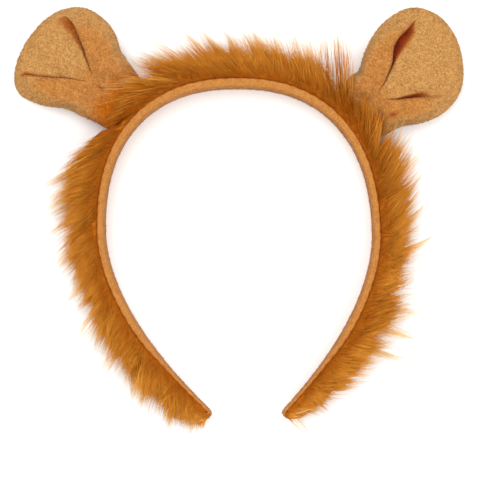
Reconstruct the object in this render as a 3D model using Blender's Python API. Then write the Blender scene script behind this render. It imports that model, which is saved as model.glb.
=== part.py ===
"""A lion ears headband: a padded velour hoop with a long-pile fur trim along its outer
face and two stuffed, folded ears.

The hoop lies on its back edge, so its plane is XY, its front faces +Z, the ears point to
+Y and the two free tips to -Y. Lengths are metres. Places along the hoop are shares of
the half arc: -1 is the left tip, 0 the crown and 1 the right tip."""

import math

import bmesh
import bpy
import numpy as np
from mathutils import Vector

# The line along the inside of the hoop
INNER_WIDTH = 0.120
CROWN_RISE = 0.0657
TAIL_DROP = 0.0801
TAIL_TUCK = 0.0450
TIP_DRIFT = 0.0045
CROWN_SQUARENESS = 2.35
TAIL_CURL = 1.78
LINE_POINTS = 700

# The velour band and the fabric that backs the fur
BAND_DEPTH = 0.020
VELOUR_THICKNESS = 0.0045
BACKING_THICKNESS = 0.0032
SEAM_GAP = 0.0003
EDGE_ROUND = 0.0009
EDGE_ROUND_LIMIT = 0.42
TIP_ROUND = 0.0022
TIP_END_SHARE = 0.35
TIP_STEPS = (0.0, 0.12, 0.4, 0.75)
BAND_STATIONS = 76
CORNER_STEPS = 3

# share of the half arc, then shares of VELOUR_THICKNESS, BACKING_THICKNESS and BAND_DEPTH
BAND_SECTIONS = (
    # place, velour, backing, depth
    (0.00, 1.00, 0.60, 1.00),
    (0.20, 0.92, 0.75, 1.00),
    (0.45, 0.76, 1.00, 1.00),
    (0.62, 0.76, 1.00, 0.97),
    (0.76, 0.70, 0.95, 0.88),
    (0.87, 0.38, 0.98, 0.78),
    (0.95, 0.30, 0.92, 0.68),
    (1.00, 0.30, 0.85, 0.62),
)

# The fur: pile is measured outwards from the backing
FUR_PILE = 0.0155
FUR_BODY_SHARE = 0.50
LOCK_SPACING = 0.0088
LOCK_WIDTH = 0.0092
LOCK_FLATNESS = 0.62
LOCK_SIDES = 5
LOCK_ROOT_SHARE = 0.6
LOCK_ROOT_DEPTH = 0.0012
LOCK_MEAN_LEAN = 32.0
LOCK_LENGTHS = (1.0, 0.8, 0.6, 0.42)
LOCK_END_ROOM = 0.6
SHORT_LOCK_WIDTH = 0.35
MEAN_DRAW = 0.35
LENGTH_SPREAD = 0.24
WIDTH_SPREAD = 0.4
LEAN_SPREAD = 14.0
TIP_SPREAD = 10.0
PLACE_SPREAD = 0.4
FLOOR_CLEARANCE = 0.0003
LOCK_CLEARANCE = 0.0005
FUR_SEED = 15

# share of the half arc, then the share of FUR_PILE that the fur reaches there
FUR_REACH = (
    # place, reach
    (0.00, 1.00),
    (0.20, 0.95),
    (0.45, 1.00),
    (0.60, 0.80),
    (0.72, 0.94),
    (0.84, 0.92),
    (0.90, 0.66),
    (0.95, 0.34),
    (1.00, 0.12),
)

# The body of the fur in section: share of its height over the backing, share of the depth
FUR_SECTION = (
    # height, depth
    (0.00, 0.00),
    (0.00, 1.00),
    (0.35, 1.07),
    (0.75, 0.98),
    (1.00, 0.72),
    (1.00, 0.30),
    (0.75, 0.06),
    (0.35, 0.01),
)

# Each row of locks: its place in the depth, how it tips forward, its share of the reach
LOCK_ROWS = (
    # depth, tip forward in degrees, reach
    (0.20, 2.0, 0.94),
    (0.52, 8.0, 1.00),
    (0.84, 20.0, 0.90),
)

# A lock from root to tip: share of its length, share of its width, lean along the hoop
LOCK_SHAPE = (
    # length, width, lean in degrees
    (0.00, 1.00, 18.0),
    (0.40, 0.86, 30.0),
    (0.78, 0.42, 42.0),
    (1.00, 0.00, 50.0),
)

# The ears. Reach runs from the pinch, where the folds meet, to the far rim
EAR_GAP = 0.0004
EAR_MIDDLE_SHARE = 0.5
FLAP_RISE = 0.0085
PANEL_RISE = 0.0045
NECK_RISE = 0.0056
PANEL_CROWN = 0.0010
EAR_BACK = 0.0070
FUR_TO_EAR = 0.0028
FOLD_TUCK = 4.0
FOLD_OVERHANG = 2.5
FOLD_ROLL = 8.0
FOLD_OPENING = 0.70
RIM_TUCK = -1.0
RIM_OVERHANG = -2.0
PINCH_PANEL = 0.12
PINCH_FLAP = 0.45
RIM_DOWN = 0.78
NECK_SIDE = (75, 140)

EARS = (
    # name, place on the hoop, pinch standoff, reach, tilt in degrees, outline column
    ("left_ear", -0.2462, 0.0278, 0.0358, 5.6, 1),
    ("right_ear", 0.2665, 0.0197, 0.0486, -1.4, 2),
)

# degrees from the ear's own axis at the pinch, then shares of each ear's reach
EAR_OUTLINE = (
    # angle, left ear, right ear
    (-180, 0.66, 0.31),
    (-165, 0.70, 0.33),
    (-150, 0.73, 0.37),
    (-135, 0.58, 0.37),
    (-120, 0.52, 0.34),
    (-105, 0.51, 0.32),
    (-90, 0.545, 0.32),
    (-75, 0.69, 0.365),
    (-60, 0.83, 0.505),
    (-45, 0.955, 0.68),
    (-30, 1.00, 0.82),
    (-15, 1.00, 0.90),
    (0, 0.99, 0.97),
    (15, 0.99, 1.00),
    (30, 1.00, 0.94),
    (45, 0.95, 0.73),
    (60, 0.71, 0.49),
    (75, 0.51, 0.33),
    (90, 0.445, 0.32),
    (105, 0.44, 0.32),
    (120, 0.455, 0.33),
    (135, 0.52, 0.35),
    (150, 0.64, 0.36),
    (165, 0.67, 0.33),
    (180, 0.66, 0.31),
)

# Where the two folds of each ear lie, in degrees from its axis
EAR_FOLDS = {
    # ear: (low fold at the rim, at the pinch, high fold at the rim, at the pinch)
    "left_ear": (-33.0, -44.0, 32.0, 26.0),
    "right_ear": (-30.0, -28.0, 27.0, 30.0),
}

FRONT_RINGS = (0.07, 0.22, 0.42, 0.62, 0.80, 0.92, 0.98, 1.0)
BACK_RINGS = (0.97, 0.86, 0.62, 0.32)
SEAT_PASSES = 5
ROOM_STEPS = 25
PANEL_STEPS = 7
OUTER_STEPS = 27


def smooth(value, low, high):
    """Zero below low, one above high and an even curve between."""
    t = np.clip((np.asarray(value, float) - low) / (high - low), 0.0, 1.0)
    return t * t * (3 - 2 * t)


def from_table(table, place, column):
    """Reads a column of a table at a place by a smooth curve through its rows."""
    rows = np.array(table, float)
    xs, ys = rows[:, 0], rows[:, column]
    slopes = np.gradient(ys, xs)
    place = np.clip(np.asarray(place, float), xs[0], xs[-1])
    at = np.clip(np.searchsorted(xs, place) - 1, 0, len(xs) - 2)
    width = xs[at + 1] - xs[at]
    t = (place - xs[at]) / width
    start = (1 + 2 * t) * (1 - t) ** 2 * ys[at] + t * (1 - t) ** 2 * width * slopes[at]
    end = t * t * (3 - 2 * t) * ys[at + 1] + t * t * (t - 1) * width * slopes[at + 1]
    return start + end


def half_line(side):
    """One half of the inner line, crown to tip: a squarish round top over a tail that
    curls inwards, moved sideways a little towards the tips."""
    half = INNER_WIDTH / 2
    turn = np.linspace(math.pi / 2, 0, LINE_POINTS)
    top_x = half * np.cos(turn).clip(0) ** (2 / CROWN_SQUARENESS)
    top_y = CROWN_RISE * np.sin(turn) ** (2 / CROWN_SQUARENESS)
    down = np.linspace(0, 1, LINE_POINTS)[1:]
    x = np.concatenate([top_x, half - TAIL_TUCK * down**TAIL_CURL])
    y = np.concatenate([top_y, -TAIL_DROP * down])
    drift = TIP_DRIFT * ((CROWN_RISE - y) / (CROWN_RISE + TAIL_DROP)) ** 2
    points = np.column_stack([side * x + drift, y])
    lengths = np.linalg.norm(np.diff(points, axis=0), axis=1)
    along = np.concatenate([[0.0], np.cumsum(lengths)])
    return points, along


def whole_line():
    """The inner line from the left tip to the right one, as shares and points."""
    left, left_along = half_line(-1)
    right, right_along = half_line(1)
    places = np.concatenate([-left_along[::-1] / left_along[-1], right_along[1:] / right_along[-1]])
    return places, np.concatenate([left[::-1], right[1:]])


PLACES, POINTS = whole_line()
HALF_ARC = np.linalg.norm(np.diff(POINTS, axis=0), axis=1).sum() / 2


def hoop_at(place):
    """Points, tangents towards the right tip and outward normals of the inner line."""
    place = np.asarray(place, float)
    step = 0.004
    points = np.column_stack([np.interp(place, PLACES, POINTS[:, k]) for k in (0, 1)])
    ahead = np.clip(place + step, -1, 1)
    behind = np.clip(place - step, -1, 1)
    chord = [
        np.interp(ahead, PLACES, POINTS[:, k]) - np.interp(behind, PLACES, POINTS[:, k])
        for k in (0, 1)
    ]
    tangents = np.column_stack(chord)
    tangents /= np.linalg.norm(tangents, axis=1)[:, None]
    normals = np.column_stack([-tangents[:, 1], tangents[:, 0]])
    return points, tangents, normals


def hoop_coordinates(flat):
    """The place on the hoop and the distance outside its inner line of flat points."""
    places = np.linspace(-1, 1, 801)
    points, _, normals = hoop_at(places)
    apart = np.linalg.norm(flat[:, None, :] - points[None, :, :], axis=2)
    nearest = apart.argmin(axis=1)
    offset = ((flat - points[nearest]) * normals[nearest]).sum(axis=1)
    return places[nearest], offset


def velour_thickness(place):
    return VELOUR_THICKNESS * from_table(BAND_SECTIONS, np.abs(place), 1)


def backing_thickness(place):
    return BACKING_THICKNESS * from_table(BAND_SECTIONS, np.abs(place), 2)


def band_depth(place):
    return BAND_DEPTH * np.minimum(from_table(BAND_SECTIONS, np.abs(place), 3), 1.0)


def band_back(place):
    """Height of the back edge: on the floor, and rising a little along the tails."""
    return (BAND_DEPTH - band_depth(place)) * 0.5


def backing_face(place):
    """Distance from the inner line to the outer face of the backing."""
    return velour_thickness(place) + SEAM_GAP + backing_thickness(place)


def fur_reach(place):
    """Distance from the inner line to the mean tips of the fur."""
    return backing_face(place) + FUR_PILE * from_table(FUR_REACH, np.abs(place), 1)


def stations(count):
    """Places along the whole hoop, with more of them in the rounded tips."""
    end = TIP_ROUND / HALF_ARC
    tip = 1 - end * np.array(TIP_STEPS)
    straight = 1 - end * 1.3
    middle = np.linspace(-straight, straight, count)
    return np.concatenate([-tip, middle, tip[::-1]])


def tip_share(place):
    """How much of the full section is left in the rounded tips."""
    from_tip = (1 - np.abs(place)) * HALF_ARC
    t = np.clip(from_tip / TIP_ROUND, 0, 1)
    return TIP_END_SHARE + (1 - TIP_END_SHARE) * np.sqrt(1 - (1 - t) ** 2)


def rounded_section():
    """A round-cornered rectangle as sign and corner offsets, going round from the floor
    side: columns are the corner's sign in thickness and depth, then its arc offsets."""
    rows = []
    corners = ((1, -1, -90), (1, 1, 0), (-1, 1, 90), (-1, -1, 180))
    for across, up, start in corners:
        for step in range(CORNER_STEPS):
            angle = math.radians(start + 90 * step / (CORNER_STEPS - 1))
            rows.append((across, up, math.cos(angle), math.sin(angle)))
    return np.array(rows)


def strip_rings(inner, outer, low, high, places):
    """Rings of a padded strip between two offsets of the hoop and two heights."""
    points, _, normals = hoop_at(places)
    across, up, cosine, sine = rounded_section().T
    share = tip_share(places)[:, None]
    half = (outer - inner)[:, None] / 2
    tall = (high - low)[:, None] / 2
    rounding = np.minimum(EDGE_ROUND, EDGE_ROUND_LIMIT * np.minimum(half, tall)) * share
    offset = (inner + outer)[:, None] / 2 + across * (half * share - rounding)
    offset = offset + rounding * cosine
    height = (low + high)[:, None] / 2 + up * (tall * share - rounding) + rounding * sine
    flat = points[:, None, :] + normals[:, None, :] * offset[..., None]
    return np.concatenate([flat, height[..., None]], axis=2)


def skin(name, rings, material):
    """A mesh object through rings of points, with a face over each end."""
    mesh = bmesh.new()
    loops = [[mesh.verts.new(Vector(p)) for p in ring] for ring in rings]
    for one, two in zip(loops, loops[1:]):
        for k in range(len(one)):
            nearby = (k + 1) % len(one)
            mesh.faces.new((one[k], one[nearby], two[nearby], two[k]))
    mesh.faces.new(loops[0][::-1])
    mesh.faces.new(loops[-1])
    bmesh.ops.recalc_face_normals(mesh, faces=mesh.faces)
    return finished(name, mesh, material)


def finished(name, mesh, material):
    """Puts a bmesh in a new object with its material, shaded smooth."""
    data = bpy.data.meshes.new(name)
    mesh.to_mesh(data)
    mesh.free()
    data.materials.append(material)
    data.shade_smooth()
    data.set_sharp_from_angle(angle=math.radians(50))
    piece = bpy.data.objects.new(name, data)
    bpy.context.scene.collection.objects.link(piece)
    return piece


def fabric(name, colour, roughness):
    material = bpy.data.materials.new(name)
    material.use_nodes = True
    shader = material.node_tree.nodes["Principled BSDF"]
    shader.inputs["Base Color"].default_value = (*colour, 1)
    shader.inputs["Roughness"].default_value = roughness
    shader.inputs["Metallic"].default_value = 0.0
    return material


def velour_band(material):
    """The padded hoop: rounded edges, flat where its back edge rests."""
    places = stations(BAND_STATIONS)
    low = band_back(places)
    rings = strip_rings(
        np.zeros(len(places)), velour_thickness(places), low, low + band_depth(places), places
    )
    return skin("velour_band", rings, material)


def ear_frame(place, standoff, tilt):
    """The pinch point of an ear and the direction of its axis, in degrees."""
    points, _, normals = hoop_at([place])
    pinch = points[0] + normals[0] * standoff
    return pinch, math.degrees(math.atan2(normals[0][1], normals[0][0])) + tilt


def ear_radius(angle, reach, column):
    """Distance from the pinch to the ear's outline, at degrees from its axis."""
    turned = (np.asarray(angle, float) + 180) % 360 - 180
    return reach * from_table(EAR_OUTLINE, turned, column)


def fold_angles(name, share):
    """Degrees from the axis of the low and high fold, at a share of the way out."""
    low_rim, low_pinch, high_rim, high_pinch = EAR_FOLDS[name]
    return low_pinch + (low_rim - low_pinch) * share, high_pinch + (high_rim - high_pinch) * share


def ring_angles(name, share):
    """The degrees of one ring: under one lip, over the panel, under the other lip, then
    round the flaps and the neck. The lips straighten out towards the rim."""
    low, high = fold_angles(name, share)
    folded = 1 - smooth(share, FOLD_OPENING, 1.0)
    tuck = RIM_TUCK + (FOLD_TUCK - RIM_TUCK) * folded
    nose = RIM_OVERHANG + (FOLD_OVERHANG - RIM_OVERHANG) * folded
    panel = np.linspace(low - tuck, high + tuck, PANEL_STEPS)
    outer = np.linspace(high + FOLD_ROLL, 360 + low - FOLD_ROLL, OUTER_STEPS)
    return np.concatenate([panel, [high - nose], outer, [360 + low + nose]])


def front_heights(name, share):
    """How far one ring of the ear's front stands over its middle plane."""
    angles = ring_angles(name, share)
    rim = math.sqrt(max(0.0, 1 - share**5))
    across = np.linspace(0, math.pi, PANEL_STEPS)
    sunk = PINCH_PANEL + (1 - PINCH_PANEL) * smooth(share, 0.0, 0.75)
    panel = rim * (PANEL_RISE * sunk + PANEL_CROWN * np.sin(across))
    outer_angles = angles[PANEL_STEPS + 1 : -1]
    side = 180 - np.abs(outer_angles - 180)
    gathered = PINCH_FLAP + (1 - PINCH_FLAP) * smooth(share, 0.0, 0.30)
    flap_height = FLAP_RISE + (PANEL_RISE - FLAP_RISE) * smooth(share, RIM_DOWN, 1.0)
    neck = smooth(side, *NECK_SIDE)
    flap = rim * (flap_height + (NECK_RISE - flap_height) * neck) * gathered
    high_nose = (panel[-1] + flap[0]) / 2
    low_nose = (panel[0] + flap[-1]) / 2
    return np.concatenate([panel, [high_nose], flap, [low_nose]])


def ear_ring(ear, share, heights, angles, middle):
    """One ring of an ear in space, kept off the backing that it is sewn to."""
    _, place, standoff, reach, tilt, column = ear
    pinch, axis = ear_frame(place, standoff, tilt)
    radius = ear_radius(angles, reach, column) * share
    world = np.radians(angles + axis)
    way = np.column_stack([np.cos(world), np.sin(world)])
    for _ in range(SEAT_PASSES):
        flat = pinch + way * radius[:, None]
        on_hoop, offset = hoop_coordinates(flat)
        seat = backing_face(on_hoop) + EAR_GAP
        too_deep = offset < seat
        radius = np.where(too_deep, radius * (standoff - seat) / (standoff - offset), radius)
    flat = pinch + way * radius[:, None]
    return np.column_stack([flat, middle + heights])


def ear(ear_row, material):
    """A stuffed ear: two puffed flaps fold over a sunk panel and meet at the pinch."""
    name = ear_row[0]
    middle = BAND_DEPTH * EAR_MIDDLE_SHARE
    rings = []
    for share in FRONT_RINGS:
        heights = front_heights(name, share)
        rings.append(ear_ring(ear_row, share, heights, ring_angles(name, share), middle))
    for share in BACK_RINGS:
        angles = ring_angles(name, 1.0)
        depth = -EAR_BACK * (1 - share**3) ** 0.5 * np.ones(len(angles))
        rings.append(ear_ring(ear_row, share, depth, angles, middle))
    return skin(name, rings, material)


def inside_ears(flat, margin):
    """Whether flat points lie within a margin of either ear's outline."""
    found = np.zeros(len(flat), bool)
    for _, place, standoff, reach, tilt, column in EARS:
        pinch, axis = ear_frame(place, standoff, tilt)
        apart = flat - pinch
        angle = np.degrees(np.arctan2(apart[:, 1], apart[:, 0])) - axis
        found |= np.linalg.norm(apart, axis=1) < ear_radius(angle, reach, column) + margin
    return found


def room_beside_ears(places, wanted):
    """The body's height over the backing, cut short where an ear stands in or beside it."""
    room = np.array(wanted, float)
    for shift in (-1.0, 0.0, 1.0):
        nearby = np.clip(places + shift / BAND_STATIONS, -1, 1)
        points, _, normals = hoop_at(nearby)
        face = backing_face(nearby)
        for share in np.linspace(1.0, 0.0, ROOM_STEPS):
            probe = points + normals * (face + wanted * share)[:, None]
            clear = wanted * max(0.0, share - 1.5 / ROOM_STEPS)
            room = np.where(inside_ears(probe, FUR_TO_EAR), np.minimum(room, clear), room)
    return room


def fur_body_rings(places):
    """Rings of the backing with the dense fur on it."""
    points, _, normals = hoop_at(places)
    wanted = (fur_reach(places) - backing_face(places)) * FUR_BODY_SHARE
    height = room_beside_ears(places, wanted * tip_share(places))
    share = tip_share(places)
    inner = velour_thickness(places) + SEAM_GAP
    face = inner + backing_thickness(places) * share
    depth = band_depth(places)
    rings = []
    for up, across in FUR_SECTION:
        offset = inner if up == 0 else face + (up - FUR_SECTION[2][0]) * height
        middle = band_back(places) + depth / 2
        level = middle + (across - 0.5) * depth * share
        level = np.maximum(level, FLOOR_CLEARANCE)
        flat = points + normals * offset[:, None]
        rings.append(np.column_stack([flat, level]))
    return np.stack(rings, axis=1)


def lock_rings(place, row, draw, kept):
    """The rings and the point of one lock that bends along the nap, with a share of its
    length kept."""
    depth_share, forward, reach_share = row
    points, tangents, normals = hoop_at([place])
    face = backing_face(place)
    wanted = (fur_reach(place) - face) * FUR_BODY_SHARE
    beside = place + np.array([-1.0, 0.0, 1.0]) / BAND_STATIONS
    body = room_beside_ears(beside, np.full(3, wanted)).min()
    rooted = face + body * LOCK_ROOT_SHARE - LOCK_ROOT_DEPTH
    deepest = velour_thickness(place) + SEAM_GAP + LOCK_CLEARANCE
    root = points[0] + normals[0] * rooted
    level = band_back(place) + band_depth(place) * depth_share
    spine = np.array([root[0], root[1], level])
    reach = (fur_reach(place) - face) * reach_share * (1 + LENGTH_SPREAD * (draw[0] - MEAN_DRAW))
    upright = max(face + reach - rooted, LOCK_WIDTH / 4)
    length = kept * upright / math.cos(math.radians(LOCK_MEAN_LEAN))
    width = LOCK_WIDTH * (1 + WIDTH_SPREAD * (draw[1] - 0.5))
    width = width * min(1.0, SHORT_LOCK_WIDTH + length / FUR_PILE)
    rings, last = [], 0.0
    for share, wide, lean in LOCK_SHAPE:
        turn = math.radians(lean + LEAN_SPREAD * (draw[2] - 0.5))
        rise = math.radians(forward + TIP_SPREAD * (draw[3] - 0.5))
        flat = normals[0] * math.cos(turn) - tangents[0] * math.sin(turn)
        way = np.array([*(flat * math.cos(rise)), math.sin(rise)])
        spine = spine + way * length * (share - last)
        last = share
        side = np.array([*(tangents[0] * math.cos(turn) + normals[0] * math.sin(turn)), 0.0])
        top = np.cross(way, side)
        turns = 2 * math.pi * np.arange(LOCK_SIDES) / LOCK_SIDES
        ring = spine + width / 2 * wide * (
            np.cos(turns)[:, None] * side + LOCK_FLATNESS * np.sin(turns)[:, None] * top
        )
        too_deep = np.maximum(deepest - (ring[:, :2] - points[0]) @ normals[0], 0)
        ring[:, :2] += normals[0] * too_deep[:, None]
        ring[:, 2] = np.maximum(ring[:, 2], LOCK_CLEARANCE)
        rings.append(ring)
    return rings


def lock_beside_ears(place, row, draw):
    """The longest form of a lock that stays clear of both ears, or None."""
    for kept in LOCK_LENGTHS:
        rings = lock_rings(place, row, draw, kept)
        if not inside_ears(np.concatenate(rings)[:, :2], FUR_TO_EAR).any():
            return rings
    return None


def fur_locks(material):
    """All locks as one guide mesh: three staggered rows, none of them into an ear."""
    chance = np.random.default_rng(FUR_SEED)
    mesh = bmesh.new()
    count = int(round(2 * HALF_ARC / LOCK_SPACING))
    end = 1 - LOCK_END_ROOM * LOCK_SPACING / HALF_ARC
    for number, row in enumerate(LOCK_ROWS):
        shift = (number - 1) / 3 / count
        for place in np.linspace(-end, end, count) + shift:
            draw = chance.random(5)
            place = place + (draw[4] - 0.5) * PLACE_SPREAD / count
            place = float(np.clip(place, -end, end))
            rings = lock_beside_ears(place, row, draw)
            if rings is None:
                continue
            loops = [[mesh.verts.new(Vector(p)) for p in ring] for ring in rings[:-1]]
            for one, two in zip(loops, loops[1:]):
                for k in range(LOCK_SIDES):
                    nearby = (k + 1) % LOCK_SIDES
                    mesh.faces.new((one[k], one[nearby], two[nearby], two[k]))
            mesh.faces.new(loops[0][::-1])
            point = mesh.verts.new(Vector(rings[-1].mean(axis=0)))
            for k in range(LOCK_SIDES):
                mesh.faces.new((loops[-1][k], loops[-1][(k + 1) % LOCK_SIDES], point))
    bmesh.ops.recalc_face_normals(mesh, faces=mesh.faces)
    guide = finished("fur_locks", mesh, material)
    guide.hide_render = True
    guide.display_type = "WIRE"
    return guide


def fur_trim(material):
    """The backing with its dense fur, and the locks fused to it."""
    places = stations(BAND_STATIONS)
    trim = skin("fur_trim", fur_body_rings(places), material)
    union = trim.modifiers.new("locks", "BOOLEAN")
    union.operation = "UNION"
    union.solver = "EXACT"
    union.use_self = True
    union.object = fur_locks(material)
    return trim


def centre_footprint(pieces):
    """Moves the pieces so that the footprint of them all is centred on the origin."""
    graph = bpy.context.evaluated_depsgraph_get()
    corners = []
    for piece in pieces:
        evaluated = piece.evaluated_get(graph).to_mesh()
        count = len(evaluated.vertices)
        points = np.empty(count * 3, np.float32)
        evaluated.vertices.foreach_get("co", points)
        points = points.reshape(-1, 3)
        corners += [points.min(axis=0), points.max(axis=0)]
    middle = (np.min(corners, axis=0) + np.max(corners, axis=0)) / 2
    for data in {piece.data for piece in bpy.data.objects if piece.type == "MESH"}:
        for vertex in data.vertices:
            vertex.co.x -= middle[0]
            vertex.co.y -= middle[1]
        data.update()


def main():
    for old in list(bpy.data.objects):
        bpy.data.objects.remove(old)
    velour = fabric("tan velour", (0.60, 0.28, 0.075), 0.9)
    fur = fabric("orange brown fur", (0.46, 0.14, 0.015), 0.8)
    pieces = [velour_band(velour), fur_trim(fur)]
    pieces += [ear(row, velour) for row in EARS]
    bpy.context.view_layer.update()
    centre_footprint(pieces)


main()
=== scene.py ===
"""A lion ears headband of tan velour and long orange-brown fur, dressed round its solids.

The hoop lies on its back edge. Places along it are shares of the half arc: -1 is the
left tip, 0 the crown and 1 the right tip. Lengths are metres."""

import math
from collections import namedtuple

import bpy
import numpy as np
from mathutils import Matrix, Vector


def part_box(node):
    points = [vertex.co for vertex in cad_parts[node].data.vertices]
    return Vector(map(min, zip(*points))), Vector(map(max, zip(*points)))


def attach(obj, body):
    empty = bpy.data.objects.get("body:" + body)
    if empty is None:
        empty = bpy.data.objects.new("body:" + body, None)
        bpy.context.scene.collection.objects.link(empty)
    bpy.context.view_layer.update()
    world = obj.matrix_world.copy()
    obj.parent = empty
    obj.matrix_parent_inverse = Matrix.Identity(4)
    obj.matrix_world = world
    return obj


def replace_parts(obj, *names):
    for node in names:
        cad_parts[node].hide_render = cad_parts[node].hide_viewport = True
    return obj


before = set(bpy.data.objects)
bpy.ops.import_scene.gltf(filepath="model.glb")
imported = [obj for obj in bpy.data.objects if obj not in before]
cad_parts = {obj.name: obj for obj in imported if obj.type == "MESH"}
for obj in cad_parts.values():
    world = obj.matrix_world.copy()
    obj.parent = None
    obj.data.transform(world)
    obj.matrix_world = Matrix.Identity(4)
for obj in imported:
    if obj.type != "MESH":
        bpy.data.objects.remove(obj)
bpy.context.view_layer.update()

# The line along the inside of the hoop, the same as the solids follow
INNER_WIDTH = 0.120
CROWN_RISE = 0.0657
TAIL_DROP = 0.0801
TAIL_TUCK = 0.0450
TIP_DRIFT = 0.0045
CROWN_SQUARENESS = 2.35
TAIL_CURL = 1.78
LINE_POINTS = 700

# The band
BAND_DEPTH = 0.020
VELOUR_THICKNESS = 0.0045
BACKING_THICKNESS = 0.0032
SEAM_GAP = 0.0003
TIP_ROUND = 0.0022
TIP_WRAP = 0.0019
SEAM_OVERLAP = 0.0003
BAND_RINGS = 420
BAND_AROUND = 36
STITCH_SPACING = 0.0046
PUCKER = 0.00028
TIP_STUB = 0.22

# How square the inner and the outer side of each section are
VELOUR_CORNERS = (4.0, 13.0)
FUR_CORNERS = (14.0, 2.6)

# share of the half arc, then shares of VELOUR_THICKNESS, BACKING_THICKNESS and BAND_DEPTH
BAND_SECTIONS = (
    # place, velour, backing, depth
    (0.00, 1.00, 0.60, 1.00),
    (0.20, 0.92, 0.75, 1.00),
    (0.45, 0.76, 1.00, 1.00),
    (0.62, 0.76, 1.00, 0.97),
    (0.76, 0.70, 0.95, 0.88),
    (0.87, 0.38, 0.98, 0.78),
    (0.95, 0.30, 0.92, 0.68),
    (1.00, 0.30, 0.85, 0.62),
)

# How dark the shade painted in the seam is along the hoop
SEAM_SHADE = (
    # place, darkness
    (-1.00, 0.45),
    (-0.45, 0.30),
    (-0.15, 0.40),
    (0.05, 0.60),
    (0.35, 0.90),
    (0.75, 0.85),
    (1.00, 0.55),
)

# The fur
FUR_PILE = 0.0160
UNDERFUR_SHARE = 0.42
RIB_HEIGHT = 0.0005
RIB_SPACING = 0.0035
FLOOR_CLEARANCE = 0.0003
TRESSES = 420
LOCKS = 2200
HAIRS = 35500
HAIR_PIECES = 4
EDGE_TUFTS = 9000
HAIR_RADIUS = 0.00014
HAIR_STEPS = (0.0, 0.36, 0.70, 1.0)
HAIR_TAPER = (1.0, 0.9, 0.6)
LOCK_SPREAD = 0.0016
BARE_NECK = (-0.302, -0.240)
HAIR_CURL = 14.0
SHORTEST_HAIR = 0.0010
SECTION_SPREAD = 0.11
TRESS_PULL = 0.62
LOCK_PULL = (0.55, 0.92)
GUARD_SHARE = 0.08
GUARD_LENGTH = (1.05, 1.40)
WISP_FORWARD = 4.0
FUR_SEED = 5

# Lanes that the hair grows in, as shares of the backing's section: below 0 on its front
# edge towards the seam, 0 to 1 from front to back of its outer face
HAIR_LANES = (
    # place in the section, share of the hair
    (-0.80, 0.14),
    (-0.50, 0.15),
    (-0.20, 0.16),
    (0.08, 0.18),
    (0.34, 0.14),
    (0.60, 0.12),
    (0.86, 0.11),
)

# How far the nap leans over towards the left tip, in degrees from straight out
FUR_LEAN = (
    # place, lean
    (-1.00, 26.0),
    (-0.70, 30.0),
    (-0.45, 36.0),
    (-0.34, 50.0),
    (-0.25, 68.0),
    (-0.16, 70.0),
    (-0.08, 46.0),
    (0.00, 35.0),
    (0.12, 33.0),
    (0.20, 46.0),
    (0.28, 66.0),
    (0.36, 48.0),
    (0.46, 33.0),
    (0.66, 30.0),
    (0.80, 24.0),
    (1.00, 24.0),
)

# Long wisps that stand out of the pile
LONG_LOCKS = (
    # place, place in the section, lean in degrees, length, hairs
    (-0.820, 0.2, 24.0, 0.0200, 20),
    (-0.740, 0.3, 26.0, 0.0235, 20),
    (-0.650, 0.2, 28.0, 0.0240, 20),
    (-0.590, 0.4, 30.0, 0.0220, 20),
    (-0.520, 0.2, 34.0, 0.0215, 24),
    (-0.457, 0.3, 36.0, 0.0230, 30),
    (-0.407, 0.2, 38.0, 0.0255, 24),
    (-0.364, 0.4, 40.0, 0.0290, 34),
    (-0.089, 0.3, 38.0, 0.0270, 20),
    (-0.040, 0.2, 36.0, 0.0285, 24),
    (-0.014, 0.4, 34.0, 0.0260, 24),
    (0.025, 0.2, 32.0, 0.0235, 24),
    (0.077, 0.3, 32.0, 0.0250, 40),
    (0.107, 0.2, 32.0, 0.0225, 24),
    (0.142, 0.4, 34.0, 0.0275, 24),
    (0.171, 0.2, 36.0, 0.0275, 24),
    (0.197, 0.3, 38.0, 0.0330, 24),
    (0.227, 0.2, 44.0, 0.0395, 50),
    (0.245, 0.1, 46.0, 0.0345, 40),
    (0.421, 0.3, 30.0, 0.0240, 24),
    (0.523, 0.4, 34.0, 0.0220, 20),
    (0.576, 0.2, 34.0, 0.0245, 40),
    (0.677, 0.3, 14.0, 0.0245, 24),
    (0.721, 0.2, 10.0, 0.0270, 30),
    (0.775, 0.3, 14.0, 0.0275, 30),
    (0.985, 0.3, -4.0, 0.0125, 10),
)

# share of the half arc, then the share of FUR_PILE that the fur reaches there
FUR_REACH = (
    # place, reach
    (0.00, 1.00),
    (0.20, 0.95),
    (0.45, 1.00),
    (0.60, 0.80),
    (0.72, 0.94),
    (0.84, 0.92),
    (0.90, 0.86),
    (0.95, 0.62),
    (1.00, 0.15),
)

# The ears, in degrees from each ear's axis and shares of its reach from the pinch
EAR_GAP = 0.0004
EAR_MIDDLE_SHARE = 0.5
FLAP_RISE = 0.0085
PANEL_RISE = 0.0052
NECK_RISE = 0.0056
PANEL_CROWN = 0.0010
EAR_BACK = 0.0070
FOLD_TUCK = 1.8
FOLD_OVERHANG = 0.6
FOLD_ROLL = 8.0
PINCH_RISE = 0.0056
FRONT_RINGS = 66
BACK_RINGS = 24
PANEL_STEPS = 48
LIP_STEPS = 9
OUTER_STEPS = 92
SEAT_PASSES = 5

# The uneven stuffing of an ear: height, size and seed
EAR_PUFF = ((0.00045, 0.018, 21), (0.00018, 0.006, 22))

# The gathers of its neck, whose size is in steps of so many degrees round the pinch
GATHER_HEIGHT = 0.00016
GATHER_SIZE = 0.55
GATHER_DEGREES = 57.3

EARS = (
    # name, place on the hoop, pinch standoff, reach, tilt in degrees, outline column
    ("left_ear", -0.2462, 0.0278, 0.0358, 5.6, 1),
    ("right_ear", 0.2665, 0.0197, 0.0486, -1.4, 2),
)

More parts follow.
